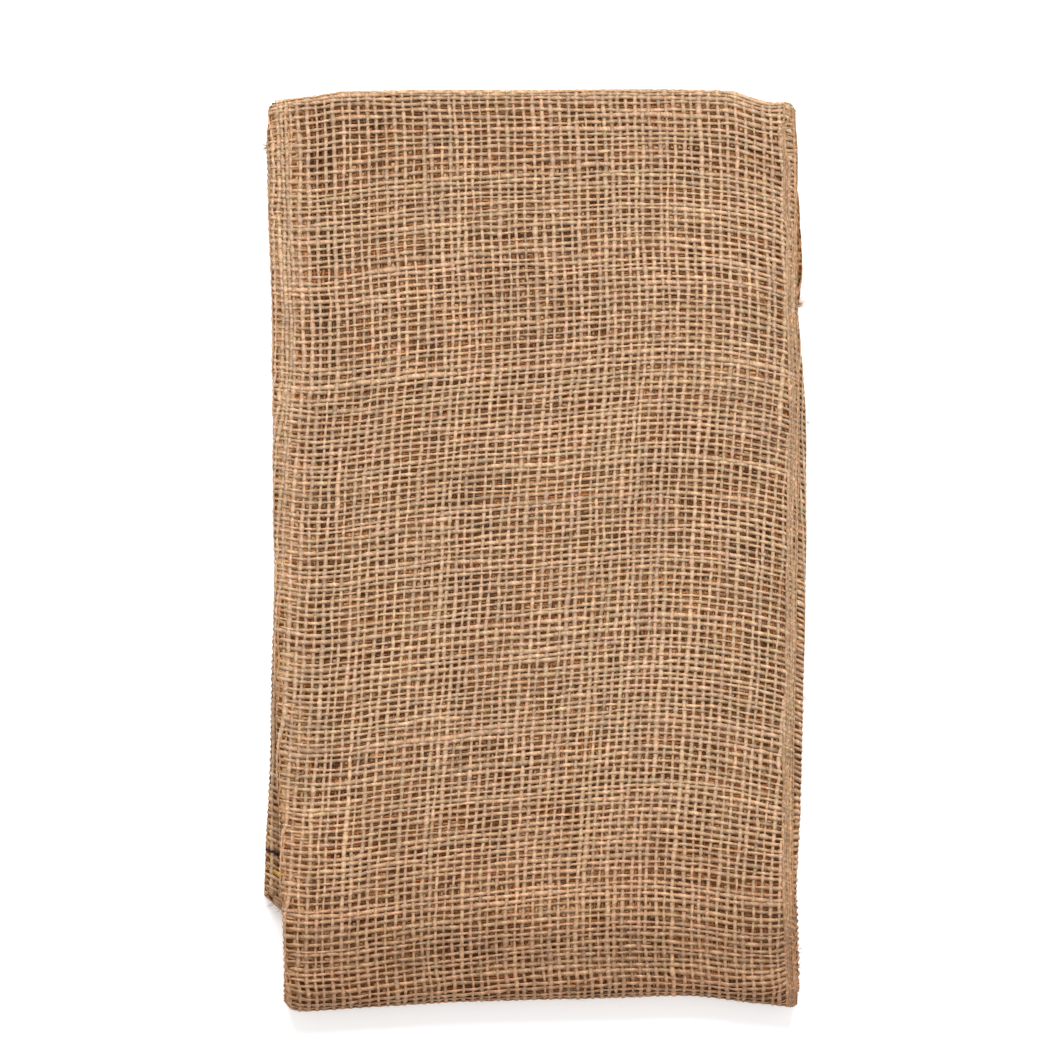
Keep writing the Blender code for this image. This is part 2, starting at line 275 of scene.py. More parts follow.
def at_middle(x, y):
    """The place at the middle of the pack that lies as far between the pack's lines as y does at x."""
    here, middle = pack_lines(x), pack_lines(0.0)
    out = y + middle[0] - here[0]
    for k in range(3):
        share = (y - here[k]) / (here[k + 1] - here[k])
        out = np.where(y > here[k], middle[k] + share * (middle[k + 1] - middle[k]), out)
    return np.where(y > here[3], y + middle[3] - here[3], out)


def on_front(u, v, face):
    """Places of the cloth from the closed end, down the front tier at v = y and up the middle tier."""
    x, level = across(u, edges_at(FRONT_EDGES, v), face)
    edges = edges_at(FRONT_EDGES, np.maximum(at_middle(x, v), LOWER_START))
    x, level = across(u, edges, face)
    start, end = lower_line(x), end_line(x)
    over = start - v
    beyond = np.maximum(over - BEND_LENGTH, 0)
    closing = np.clip((v - end) / END_LENGTH, 0, 1) * np.pi
    onward = edges_at(MIDDLE_EDGES, np.maximum(at_middle(x, start + beyond), LOWER_START))
    edges = edges + ramp(over, EDGE_CHANGE) * (onward - edges)
    x, level = across(u, edges, face * np.cos(closing))
    turn = np.clip(over / BEND_LENGTH, 0, 1) * np.pi
    radius = BEND_RADIUS + level
    y = np.where(over > 0, start + beyond, np.minimum(v, end))
    y = y - BEND_STRETCH * radius * np.sin(turn) + FOLD_STRETCH * np.abs(face) * np.sin(closing)
    return settle(x, y, LOWER_BEND + radius * np.cos(turn))


def on_back(u, v, face):
    """Places of the cloth from the mouth, up the back tier at v = y and down the middle tier."""
    x, level = across(u, edges_at(BACK_EDGES, v), face)
    edges = edges_at(BACK_EDGES, at_middle(x, v))
    x, level = across(u, edges, face)
    start = upper_line(x)
    over = v - start
    beyond = np.maximum(over - BEND_LENGTH, 0)
    edges = np.where(over > BEND_LENGTH / 2, edges_at(MIDDLE_EDGES, at_middle(x, start - beyond)), edges)
    x, level = across(u, edges, face)
    turn = np.clip(over / BEND_LENGTH, 0, 1) * np.pi
    radius = BEND_RADIUS - level
    y = np.where(over > 0, start - beyond, v) + BEND_STRETCH * radius * np.sin(turn)
    return settle(x, y, UPPER_BEND - radius * np.cos(turn))


def summed(places, angles):
    """Heights of a line that starts at 0 and slopes by these angles, in degrees."""
    slope = np.tan(np.radians(angles))
    return np.concatenate([[0], np.cumsum(np.diff(places) * (slope[1:] + slope[:-1]) / 2)])


def weft_rise(x, y):
    """How far the front's wefts lie above their places at the middle, at x and y."""
    rows = []
    for angles in WEFT_SLOPES.values():
        rise = summed(SLOPE_PLACES, angles)
        rows.append(curve_at(SLOPE_PLACES, rise - np.interp(0.0, SLOPE_PLACES, rise), x))
    rows = np.array(rows)
    at = np.interp(y, list(WEFT_SLOPES), np.arange(len(rows)))
    k = np.clip(at.astype(int), 0, len(rows) - 2)
    t = at - k
    below = np.take_along_axis(rows, k[None], 0)[0]
    above = np.take_along_axis(rows, k[None] + 1, 0)[0]
    return below + t * (above - below)


def warp_lean(y):
    """How far the front's warps have moved left at y, on their way down."""
    shift = summed(LEAN_PLACES, WARP_LEANS)
    return shift[-1] - curve_at(LEAN_PLACES, shift, y)


def smooth_noise(rng, rows, columns, reach):
    """Rows of soft random waves with a spread of about 1, which turn every `reach` columns."""
    knots = rng.normal(size=(rows, int(columns / reach) + 4))
    at = np.arange(columns) / reach + rng.uniform(0, 1, (rows, 1))
    k = at.astype(int)
    t = at - k
    t = t * t * (3 - 2 * t)
    low = np.take_along_axis(knots, k, 1)
    high = np.take_along_axis(knots, k + 1, 1)
    return low + t * (high - low)


def node(tree, kind, inputs=(), **settings):
    """A shader node with its settings, and its inputs set or linked."""
    made = tree.nodes.new(kind)
    for key, value in settings.items():
        setattr(made, key, value)
    for key, value in dict(inputs).items():
        value = getattr(value, "socket", value)
        if isinstance(value, bpy.types.NodeSocket):
            tree.links.new(value, made.inputs[key])
        else:
            made.inputs[key].default_value = value
    return made


class Value:
    """A number in a node tree. Sums with it add the nodes that they need."""

    def __init__(self, socket):
        self.socket = socket

    def calc(self, operation, *others):
        """The result of a Math node for this number and the others."""
        inputs = enumerate((self, *others))
        return Value(node(self.socket.id_data, "ShaderNodeMath", inputs, operation=operation).outputs[0])

    def __add__(self, other):
        return self.calc("ADD", other)

    def __sub__(self, other):
        return self.calc("SUBTRACT", other)

    def __rsub__(self, other):
        return self.calc("MULTIPLY_ADD", -1.0, other)

    def __mul__(self, other):
        return self.calc("MULTIPLY", other)


def new_material(name, inputs):
    """A Principled material with these inputs, its node tree and its shader."""
    material = bpy.data.materials.new(name)
    material.use_nodes = True
    shader = material.node_tree.nodes["Principled BSDF"]
    for key, value in inputs.items():
        shader.inputs[key].default_value = value
    return material, material.node_tree, shader


def numbers(tree, vector):
    """The three numbers of a vector."""
    return [Value(part) for part in node(tree, "ShaderNodeSeparateXYZ", {0: vector}).outputs]


def attribute(tree, name):
    """A named vector at the points of the mesh."""
    return node(tree, "ShaderNodeAttribute", attribute_name=name, attribute_type="GEOMETRY").outputs["Vector"]


def noise(tree, place, scale, detail):
    """Outputs of a noise texture: a number and a colour."""
    return node(tree, "ShaderNodeTexNoise", {"Vector": place, "Scale": scale, "Detail": detail}).outputs


def finish_surface(tree, shader, colour, light, bump):
    """Link the colour, made lighter or darker, and the bumps of a strength, a depth and a height."""
    colour = node(tree, "ShaderNodeVectorMath", {0: colour, "Scale": light}, operation="SCALE")
    tree.links.new(colour.outputs[0], shader.inputs["Base Color"])
    bump = node(tree, "ShaderNodeBump", dict(zip(("Strength", "Distance", "Height"), bump)))
    tree.links.new(bump.outputs[0], shader.inputs["Normal"])


# Length in which a yarn's plies turn once, and the painted shade that darkens and browns a yarn down its sides.
TWIST_LENGTH = 0.0034
SIDE_SHADE = (-0.02, -0.21, -0.42)


def yarn_material():
    """Hairy twisted jute: each yarn's colour with its painted light and shade, painted shade down its sides, with
    fine fibres and a twist.
    """
    looks = {"Roughness": 0.9, "Specular IOR Level": 0.1, "Sheen Weight": 0.03, "Sheen Roughness": 0.6}
    looks |= {"Subsurface Weight": 0.35, "Subsurface Radius": (1.0, 0.42, 0.18), "Subsurface Scale": 0.0007}
    material, tree, shader = new_material("jute_yarn", looks)
    dye = attribute(tree, "dye")
    along, around, key = numbers(tree, attribute(tree, "yarn_place"))
    slant = around * 3.0 + along * (3.0 / TWIST_LENGTH)
    grain_at = node(tree, "ShaderNodeCombineXYZ", {0: along * 850.0, 1: slant, 2: key}).outputs[0]
    grain = Value(noise(tree, grain_at, 1.0, 3.0)[0])
    twist = ((along * (1 / TWIST_LENGTH) + around) * (4 * math.pi)).calc("SINE")
    patch = Value(noise(tree, node(tree, "ShaderNodeTexCoord").outputs["Object"], 26.0, 2.0)[0])
    light = (grain * 1.05 + 0.41 + twist * 0.06) * (patch * 0.24 + 0.88)
    # Painted shade: darker and browner from the yarn's top towards its sides.
    off_top = (around - 0.5).calc("ABSOLUTE") * 2.0
    side = node(tree, "ShaderNodeVectorMath", {0: off_top, 1: SIDE_SHADE, 2: (1, 1, 1)}, operation="MULTIPLY_ADD")
    shaded = node(tree, "ShaderNodeVectorMath", {0: dye, 1: side.outputs[0]}, operation="MULTIPLY")
    finish_surface(tree, shader, shaded.outputs[0], light, (0.6, 0.00012, twist * 0.25 + grain))
    return material


def thread_profile(place, half_width):
    """Round profile across threads that lie one apart: 1 at the middle of each, 0 in the gaps."""
    off = (place.calc("FRACT") - 0.5).calc("ABSOLUTE")
    share = off.calc("DIVIDE", half_width).calc("MINIMUM", 1.0)
    return (1.0 - share * share).calc("SQRT")


def weave_material():
    """Open plain weave drawn from places on the cloth, coloured with painted light and shade: threads, lighter
    knuckles and dark gaps.
    """
    material, tree, shader = new_material("jute_weave", {"Roughness": 0.94, "Specular IOR Level": 0.02})
    place = attribute(tree, "weave_place")
    across_it, along_it, _ = numbers(tree, place)
    wander_x, wander_y, _ = numbers(tree, noise(tree, place, 160.0, 1.0)[1])
    warp_at = across_it * (1 / WARP_PITCH) + wander_x
    weft_at = along_it * (1 / WEFT_PITCH) + wander_y
    lift = ((warp_at + weft_at) * math.pi).calc("SINE") * 0.3
    warp = thread_profile(warp_at, 0.2) * (lift + 0.7)
    weft = thread_profile(weft_at, 0.27) * (0.7 - lift)
    height = warp.calc("MAXIMUM", weft)
    fibre = Value(noise(tree, place, 2600.0, 2.0)[0])
    # Painted shade: dark brown in the gaps, lighter up to the threads' tops, and all darker than the yarns above.
    shade_ramp = node(tree, "ShaderNodeValToRGB", {0: height * (fibre * 0.5 + 0.75)})
    stops = shade_ramp.color_ramp.elements
    stops[0].position, stops[0].color = 0.05, (0.098, 0.033, 0.008, 1)
    stops[1].position, stops[1].color = 0.85, (0.39, 0.225, 0.115, 1)
    stops.new(0.4).color = (0.195, 0.081, 0.028, 1)
    light = Value(noise(tree, place, 110.0, 1.0)[0]) * 1.9 + 0.05
    finish_surface(tree, shader, shade_ramp.outputs[0], light, (0.8, 0.0005, height))
    return material


YARN = yarn_material()


def make_object(name, points, sizes, corners, material, attributes=()):
    """A smooth-shaded mesh object from points and faces, with attributes at its points."""
    mesh = bpy.data.meshes.new(name)
    mesh.vertices.add(len(points))
    mesh.vertices.foreach_set("co", np.ascontiguousarray(points, np.float32).ravel())
    mesh.loops.add(len(corners))
    mesh.loops.foreach_set("vertex_index", corners.astype(np.int32))
    mesh.polygons.add(len(sizes))
    starts = np.concatenate([[0], np.cumsum(sizes)[:-1]])
    mesh.polygons.foreach_set("loop_start", starts.astype(np.int32))
    mesh.polygons.foreach_set("loop_total", np.asarray(sizes, np.int32))
    mesh.polygons.foreach_set("use_smooth", np.ones(len(sizes), bool))
    for key, values in attributes:
        layer = mesh.attributes.new(key, "FLOAT_VECTOR", "POINT")
        layer.data.foreach_set("vector", np.ascontiguousarray(values, np.float32).ravel())
    mesh.update(calc_edges=True)
    mesh.validate()
    mesh.materials.append(material)
    thing = bpy.data.objects.new(name, mesh)
    bpy.context.scene.collection.objects.link(thing)
    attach(thing, "root")
    return thing


class Threads:
    """Closed tubes in one mesh, with a colour of dye and painted light and shade, and the place along and round
    the thread at each point.
    """

    def __init__(self, sides):
        self.sides = sides
        self.turns = -np.pi / 2 + 2 * np.pi * (np.arange(sides) + 0.5) / sides
        self.points, self.dyes, self.places = [], [], []
        self.sizes, self.corners = [], []
        self.count = 0

    def add(self, centres, sideways, outward, half_width, half_height, dye, along, key):
        """One thread, from arrays with a row for each of its rings."""
        n, sides = len(centres), self.sides
        wide = sideways[:, None] * (half_width[:, None] * np.cos(self.turns))[..., None]
        high = outward[:, None] * (half_height[:, None] * np.sin(self.turns))[..., None]
        self.points.append((centres[:, None] + wide + high).reshape(-1, 3))
        self.dyes.append(np.repeat(dye, sides, 0))
        place = np.broadcast_arrays(along[:, None], (np.arange(sides) + 0.5) / sides, key)
        self.places.append(np.stack(place, -1).reshape(-1, 3))
        ring = self.count + np.arange((n - 1) * sides).reshape(n - 1, sides)
        turned = np.roll(ring, -1, axis=1)
        quads = np.stack([ring, ring + sides, turned + sides, turned], axis=-1)
        first, last = self.count + np.arange(sides), self.count + (n - 1) * sides + np.arange(sides)
        self.corners += [quads.reshape(-1), first, last[::-1]]
        self.sizes += [np.full((n - 1) * sides, 4), np.full(2, sides)]
        self.count += n * sides

    def build(self, name):
        """The mesh object of all the threads."""
        attributes = (("dye", np.concatenate(self.dyes)), ("yarn_place", np.concatenate(self.places)))
        sizes, corners = np.concatenate(self.sizes), np.concatenate(self.corners)
        return make_object(name, np.concatenate(self.points), sizes, corners, YARN, attributes)


def refined(values, steps):
    """Values along the first axis with steps - 1 more between each two, on a smooth curve."""
    if steps == 1:
        return values
    ends = np.concatenate([2 * values[:1] - values[1:2], values, 2 * values[-1:] - values[-2:-1]])
    a, b, c, d = ends[:-3], ends[1:-2], ends[2:-1], ends[3:]
    out = np.empty(((len(values) - 1) * steps + 1,) + values.shape[1:])
    for step in range(steps):
        t = step / steps
        curve = 2 * b + (c - a) * t + (2 * a - 5 * b + 4 * c - d) * t**2 + (3 * b - a - 3 * c + d) * t**3
        out[step:-1:steps] = curve / 2
    out[-1] = values[-1]
    return out


def unit(vectors):
    """The vectors, each made one long."""
    return vectors / np.maximum(np.linalg.norm(vectors, axis=-1, keepdims=True), 1e-12)


# Colour of the yarns, the hues that it wavers between, and the painted shade where a yarn dips under another.
YARN_COLOUR = np.array((0.47, 0.331, 0.233))
YARN_PINK = np.array((1.025, 0.98, 0.985))
YARN_OCHRE = np.array((0.985, 1.006, 0.95))
DIP_SHADE = np.array((0.99, 0.87, 0.72))

# Yarns have painted light where they lie on top of another and painted shade where they lie under, are thicker at
# crossings than between them, and have painted light at crossings and painted shade between them.
KNUCKLE_HIGHLIGHT = 0.07
BEAD = 0.09
SPAN_SHADE = 0.1

# How uneven yarns are: the spread from yarn to yarn, and waves along each, with their spread and length in
# crossings. Slubs are where long waves rise past a start.
OWN_BODY = 0.09
LONG_BODY = (0.14, 4)
SHORT_BODY = (0.15, 1)
LEAST_BODY = 0.6
MOST_BODY = 1.6
SLUB_WAVE = (1.0, 14)
SLUB_START = 1.35
SLUB_BODY = 0.45
SLUB_LIGHT = 0.09
OWN_LIGHT = 0.045
LONG_LIGHT = (0.06, 9)
SHORT_LIGHT = (0.09, 2)
OWN_PINK = 0.26
LONG_PINK = (0.2, 10)

# How far off the cloth its outward direction is read, and the fewest rings of a yarn that is drawn.
PROBE = 0.0003
FEWEST_RINGS = 3

# Painted shade of the yarns along the pack, darker and redder towards the lower bend and darker at the closed end:
# y, red, green and blue.
PAINTED_SHADE_ALONG = (
    (-0.187, 0.9, 0.8, 0.75), (-0.165, 0.93, 0.84, 0.79), (-0.125, 0.98, 0.94, 0.91),
    (-0.07, 1.0, 1.0, 1.0), (0.02, 0.97, 0.97, 0.97), (0.13, 0.95, 0.95, 0.95), (0.187, 0.88, 0.87, 0.86),
)

# Yarns of a cloth: the function for their places, the wall, how far they lie from the middle between the walls,
# how far they bend over and under each other, half their width and height, and their tint, for some cloths painted
# light or shade.
Cloth = namedtuple("Cloth", "place wall lift crimp half_width half_height tint", defaults=[1.0])


def lay_threads(threads, cloth, u, v, sign, good, steps, rng, markers=None, thick_at=None):
    """Yarns, each a column of crossings (u, v), over or under by the sign at each crossing where it is good.

    The markers give single yarns, by number, a dye and a thickness of their own.
    """
    fine_u, fine_v = refined(u, steps), refined(v, steps)
    n, yarns = fine_u.shape
    at = np.arange(n)
    phase = np.cos(np.pi * (at % steps) / steps)[:, None]
    over = phase * sign[at // steps]
    height = cloth.crimp * over
    good = good[at // steps] & good[-(-at // steps)]
    flat = cloth.place(fine_u, fine_v, cloth.wall * cloth.lift)
    above = cloth.place(fine_u, fine_v, cloth.wall * (cloth.lift + PROBE))
    outward = unit(above - flat)
    centres = flat + outward * height[..., None]
    tangent = unit(np.gradient(centres, axis=0))
    sideways = unit(np.cross(tangent, outward))
    outward = np.cross(sideways, tangent)

    def own(spread):
        return spread * rng.normal(size=(yarns, 1))

    def wave(spread, reach):
        return spread * smooth_noise(rng, yarns, n, reach * steps)

    body = 1 + own(OWN_BODY) + wave(*LONG_BODY) + wave(*SHORT_BODY)
    slub = np.clip(wave(*SLUB_WAVE) - SLUB_START, 0, 1)
    if thick_at is not None:
        slub = np.maximum(slub, thick_at(fine_u, fine_v).T)
    on_crossing = 2 * np.abs(over.T) - 1
    body = np.clip(body + SLUB_BODY * slub, LEAST_BODY, MOST_BODY) * (1 + BEAD * on_crossing)
    light = 1 + own(OWN_LIGHT) + wave(*LONG_LIGHT) + SLUB_LIGHT * slub
    # Painted light on top of another yarn and painted shade under it, and painted light at crossings and painted
    # shade between them.
    light = light + wave(*SHORT_LIGHT) + KNUCKLE_HIGHLIGHT * over.T + SPAN_SHADE * on_crossing
    # Painted shade along the pack.
    y, *channels = zip(*PAINTED_SHADE_ALONG)
    painted_shade = np.stack([curve_at(y, channel, fine_v).T for channel in channels], axis=-1)
    pink = np.clip(0.5 + own(OWN_PINK) + wave(*LONG_PINK), 0, 1)
    hue = YARN_OCHRE + pink[..., None] * (YARN_PINK - YARN_OCHRE)
    # Painted shade where a yarn dips under another.
    dip = 0.5 - 0.5 * over.T[..., None]
    dyes = YARN_COLOUR * hue * light[..., None] * (1 - dip * (1 - DIP_SHADE)) * cloth.tint
    dyes = np.clip(dyes * painted_shade, 0, 0.95)
    along = np.concatenate([np.zeros((1, yarns)), np.cumsum(np.linalg.norm(np.diff(centres, axis=0), axis=-1), 0)])
    keys = rng.uniform(0, 90, yarns)
    for i in range(yarns):
        dye_ratio, thick = (markers or {}).get(i, (1, 1))
        marks = np.flatnonzero(np.diff(np.concatenate([[0], good[:, i].astype(int), [0]])))
        for begin, end in marks.reshape(-1, 2):
            if end - begin < FEWEST_RINGS:
                continue
            part = slice(begin, end)
            place = [values[part, i] for values in (centres, sideways, outward)]
            wide = cloth.half_width * thick * body[i, part]
            high = cloth.half_height * (0.5 + 0.5 * body[i, part])
            threads.add(*place, wide, high, dyes[i, part] * dye_ratio, along[part, i], keys[i])


def lay_weave(threads, cloth, u, v, sign, warps, wefts, steps, rng, markers=None):
    """The warps and then the wefts of a weave, each at the crossings where it is good."""
    lay_threads(threads, cloth, u, v, sign, warps, steps, rng)
    lay_threads(threads, cloth, u.T, v.T, -sign.T, wefts.T, steps, rng, markers)


# Least and greatest distance between yarns, in pitches, and how far they stray in short waves against long ones.
STEP_LIMITS = (0.7, 1.4)
SHORT_STRAY = 0.7


def spaced(rng, start, stop, pitch, unevenness=0.11):
    """Places from start to stop about a pitch apart, a little unevenly."""
    count = int((stop - start) / pitch) + 1
    steps = pitch * np.clip(1 + unevenness * rng.normal(size=count), *STEP_LIMITS)
    return start + np.cumsum(steps) * (stop - start) / steps.sum()


def crossings(rng, us, vs, lean, rise, stray):
    """Places (u, v) where each weft, a row, crosses each warp, a column, and which is on top."""
    u = us[None] + lean(vs)[:, None] + stray * smooth_noise(rng, len(us), len(vs), 9).T
    u += SHORT_STRAY * stray * smooth_noise(rng, len(us), len(vs), 2).T
    v = vs[:, None] + rise(u, vs[:, None] + 0 * u) + stray * smooth_noise(rng, len(vs), len(us), 7)
    v += SHORT_STRAY * stray * smooth_noise(rng, len(vs), len(us), 2)
    sign = 1 - 2 * ((np.arange(len(vs))[:, None] + np.arange(len(us))[None]) % 2)
    return u, v, sign


def inside(u, v, u_span, v_span):
    """Which crossings lie within the spans."""
    return (u >= u_span[0]) & (u <= u_span[1]) & (v >= v_span[0]) & (v <= v_span[1])


def straight(at, *_):
    """No lean of warps, or no rise of wefts."""
    return 0 * at


# Places u where the top run ends and the right fold starts, on the front tier and on the others.
FRONT_RUN = 0.2064
INNER_RUN = 0.2008
RIGHT_FOLD = FRONT_RUN + FOLD_LENGTH + 0.2074
INNER_RIGHT_FOLD = INNER_RUN + FOLD_LENGTH + 0.2045
SEAM_X = 0.1033

# Where the weave is close: the selvedge, the closed end and the front tier's side folds.
BAND_WIDTH = 0.0024
END_BAND = 0.0032
BAND_PITCH = 0.00132
FOLD_PITCH = 0.0018

# The groove beside the selvedge near the closed end: its low end, where it widens, its high end, its width, the
# lengths of its fades, its share of the width before it widens, and the share below which there is none.
GROOVE_LOW = 0.13
GROOVE_DEEP = 0.156
GROOVE_HIGH = 0.176
GROOVE_WIDTH = 0.003
GROOVE_FADE = 0.006
GROOVE_WIDENING = 0.008
GROOVE_SHALLOW = 0.45
NO_GROOVE = 0.2

# The front's wefts turn level with the closed end from here on.
LEVEL_FROM = 0.15
LEVEL_LENGTH = 0.03


def end_offset(u):
    """How far the closed end at u lies above its place at the middle."""
    return line_at(CLOSED_END, SEAM_X - u) - line_at(CLOSED_END, 0.0)


def front_rise(u, v):
    """Rise of the front's wefts at u and v. Near the closed end they turn level with it."""
    free = weft_rise(np.clip(SEAM_X - u, SLOPE_PLACES[0], SLOPE_PLACES[-1]), v)
    return free + ramp(v - LEVEL_FROM, LEVEL_LENGTH) * (end_offset(u) - free)


def slanted(slope, fold, lead, reach):
    """The rise, at u and v, of wefts that slant by a fold from some way before it."""
    return lambda u, v: slope * np.clip(u - fold + lead, 0, reach)


BACK_LEFT_RISE = slanted(0.6, INNER_RUN, 0.003, 0.012)
FRONT_RIGHT_RISE = slanted(-0.75, RIGHT_FOLD, 0.0045, 0.014)


# Tints of yarns against the yarn colour, some of them painted light or shade.
# Painted shade on the yarns below the front, which show in its gaps.
SHADE_IN_GAPS = (0.58, 0.36, 0.2)
# Painted light on the warps and painted shade on the wefts, against the key light that lights the wefts' tops
# more.
WARP_LIGHT_TINT = (1.03, 1.04, 1.03)
WEFT_SHADE_TINT = (0.965, 0.965, 0.945)
BY_FOLD = (0.9, 0.76, 0.6)
BAND_TINT = (0.91, 0.86, 0.8)
FRONT_WARP = Cloth(on_front, 1, 0.00112, 0.00022, 0.00079, 0.00038, WARP_LIGHT_TINT)
FRONT_WEFT = Cloth(on_front, 1, 0.00105, 0.00022, 0.00075, 0.00036, WEFT_SHADE_TINT)
FRONT_CLOTH = Cloth(on_front, 1, 0.00106, 0.00022, 0.00066, 0.00033)
FRONT_FAR_CLOTH = Cloth(on_front, -1, 0.00104, 0.00008, 0.00072, 0.0003)
FOLD_WEFTS = FRONT_FAR_CLOTH._replace(half_width=0.0008, half_height=0.00026)
BAND_CLOTH = Cloth(on_front, 1, 0.00126, 0.00006, 0.00066, 0.00034, BAND_TINT)
BACK_BAND_CLOTH = Cloth(on_back, 1, 0.00108, 0.00006, 0.00066, 0.0003, BAND_TINT)
UNDER_CLOTH = Cloth(on_front, 1, 0.00068, 0.0, 0.0006, 0.00016, SHADE_IN_GAPS)
BACK_CLOTH = Cloth(on_back, 1, 0.00104, 0.00014, 0.0008, 0.00034)
BACK_FAR_CLOTH = Cloth(on_back, -1, 0.00076, 0.00012, 0.00068, 0.00024)

# Places v at the middle of the pack: the upper bend, the closed end, the mouth, and where the front's yarns end.
UPPER_START = 0.1725
CLOSED_Y = 0.189
MOUTH_Y = -0.1475
FRONT_LOWEST = LOWER_START - BEND_LENGTH - 0.034

# Marker threads: distance from the mouth, dye and thickness against other yarns.
MARKERS = (
    (0.0221, np.array((0.026, 0.015, 0.036)) / YARN_COLOUR, 0.85),
    (0.0149, np.array((0.7, 0.5, 0.13)) / YARN_COLOUR, 1.25),
)

# Thick places in single warps of the front: x, and the least and the greatest v.
SLUBS = ((-0.0583, 0.008, 0.069), (0.0174, 0.029, 0.061), (0.0498, -0.093, -0.004))
SLUB_REACH = 0.0013
SLUB_FADE = 0.012
SLUB_THICKNESS = 0.75
END_THICKNESS = 0.6
END_FADE = 0.002
BAND_START = CLOSED_Y - END_LENGTH / 2 - END_BAND


def slub_at(u, v):
    """How much the warps of the front thicken at u and v."""
    thick = 0 * u
    for x, low, high in SLUBS:
        nearby = np.clip(1.6 - np.abs(SEAM_X - u - x) / SLUB_REACH, 0, 1)
        thick = np.maximum(thick, nearby * ramp(v - low, SLUB_FADE) * ramp(high - v, SLUB_FADE))
    return SLUB_THICKNESS * thick


def end_thickness(u, v):
    """How much the close wefts at the closed end thicken at u and v."""
    return END_THICKNESS * ramp(v - end_offset(u) - BAND_START, END_FADE)


def in_groove(v):
    """Share of the groove's width at v."""
    shallow = GROOVE_SHALLOW * ramp(v - GROOVE_LOW, GROOVE_WIDENING)
    deep = (1 - GROOVE_SHALLOW) * ramp(v - GROOVE_DEEP, GROOVE_FADE)
    return ramp(GROOVE_HIGH - v, GROOVE_FADE) * (shallow + deep)


def front_panel():
    """The yarns of the front: warps and wefts, each in two pieces, the wefts close at the closed end."""
    rng = np.random.default_rng(11)
    u_span = (-0.9 * END_LENGTH, FRONT_RUN + FOLD_LENGTH + 0.005)
    us = spaced(rng, u_span[0] - 0.02, FRONT_RUN - 0.003, WARP_PITCH)
    us = np.concatenate([us, spaced(rng, us[-1], u_span[1], FOLD_PITCH)])
    vs = spaced(rng, FRONT_LOWEST - 0.012, BAND_START, WEFT_PITCH)
    vs = np.concatenate([vs, np.arange(BAND_START + BAND_PITCH, CLOSED_Y + 0.002, BAND_PITCH)])
    u, v, sign = crossings(rng, us, vs, warp_lean, front_rise, 0.00024)
    good = inside(u, v - end_offset(u), u_span, (FRONT_LOWEST, CLOSED_Y))
    open_weave = good & (u > BAND_WIDTH + GROOVE_WIDTH * in_groove(v) / 2)
    warps = FRONT_WARP, (u, v, sign, open_weave), slub_at, ("warps_right", "warps_left")
    wefts = FRONT_WEFT, (u.T, v.T, -sign.T, good.T), end_thickness, ("wefts_lower", "wefts_upper")
    made = []
    for cloth, grids, thick_at, names in (warps, wefts):
        half = grids[0].shape[1] // 2
        for name, part in zip(names, (slice(0, half), slice(half, None))):
            threads = Threads(5)
            lay_threads(threads, cloth, *(grid[:, part] for grid in grids), 2, rng, thick_at=thick_at)
            made.append(threads.build("sack_front_" + name))
    return made


# The yarns below those of the front: their pitch and unevenness, how far they lean and rise against those above,
# and the lightness of square patches of them.
UNDER_WARPS = (0.00347, 0.08)
UNDER_WEFTS = (0.00249, 0.08)
UNDER_LEAN = 0.55
UNDER_RISE = 0.8
PATCH_SIZE = 0.006
PATCHES = (60, 40)
PATCH_LIGHT = (0.15, 1.4)

# Close yarns below those of the front by its left fold.
CLOSE_WARPS = (0.0017, 0.2)
CLOSE_WEFTS = (0.0018, 0.2)
CLOSE_CLOTH = Cloth(on_front, 1, 0.00086, 0.00012, 0.00066, 0.00024, BY_FOLD)


def under_panel():
    """Flat, straighter yarns below those of the front, which show in the gaps between them."""
    rng = np.random.default_rng(23)
    u_span = (0.001, FRONT_RUN + FOLD_LENGTH)
    us = spaced(rng, u_span[0] - 0.016, u_span[1], *UNDER_WARPS)
    vs = spaced(rng, LOWER_START - 0.036, 0.195, *UNDER_WEFTS)
    bends = lambda y: UNDER_LEAN * warp_lean(y), lambda u, v: UNDER_RISE * front_rise(u, v)
    u, v, sign = crossings(rng, us, vs, *bends, 0.00022)
    good = inside(u, v - end_offset(u), u_span, (LOWER_START - 0.026, 0.184))
    good &= (u > 0.0045) | (in_groove(v) < NO_GROOVE)
    threads = Threads(3)
    patches = rng.uniform(*PATCH_LIGHT, PATCHES)
    lay_threads(threads, UNDER_CLOTH, *(values[::3] for values in (u, v, sign, good)), 1, rng)
    lay_threads(threads, UNDER_CLOTH, *(values[:, ::3].T for values in (u, v, -sign, good)), 1, rng)
    patched = len(threads.dyes)
    us = spaced(rng, FRONT_RUN - 0.004, FRONT_RUN + FOLD_LENGTH, *CLOSE_WARPS)
    vs = spaced(rng, LOWER_START - 0.026, 0.182, *CLOSE_WEFTS)
    u, v, sign = crossings(rng, us, vs, straight, front_rise, 0.0003)
    lay_weave(threads, CLOSE_CLOTH, u, v, sign, sign != 0, sign != 0, 1, rng)
    for points, dyes in zip(threads.points[:patched], threads.dyes[:patched]):
        spots = ((points[:, :2] + 0.3) / PATCH_SIZE).astype(int)
        dyes *= patches[spots[:, 1] % PATCHES[0], spots[:, 0] % PATCHES[1]][:, None]
    return [threads.build("sack_under_threads")]


# The selvedge: places u of its warps, the first only to hold its wefts round the edge, and the pitch, unevenness
# and slope of its wefts, how much lower than its warps they lie, and half their width.
SELVEDGE_WARPS = np.array((-0.0029, -0.0019, -0.0009, 0.0001, 0.0011, 0.0021))
SELVEDGE_PITCH = 0.00215
SELVEDGE_UNEVENNESS = 0.16
SELVEDGE_SLOPE = 0.45
SELVEDGE_DROP = 0.00008
SELVEDGE_WEFT = 0.00072


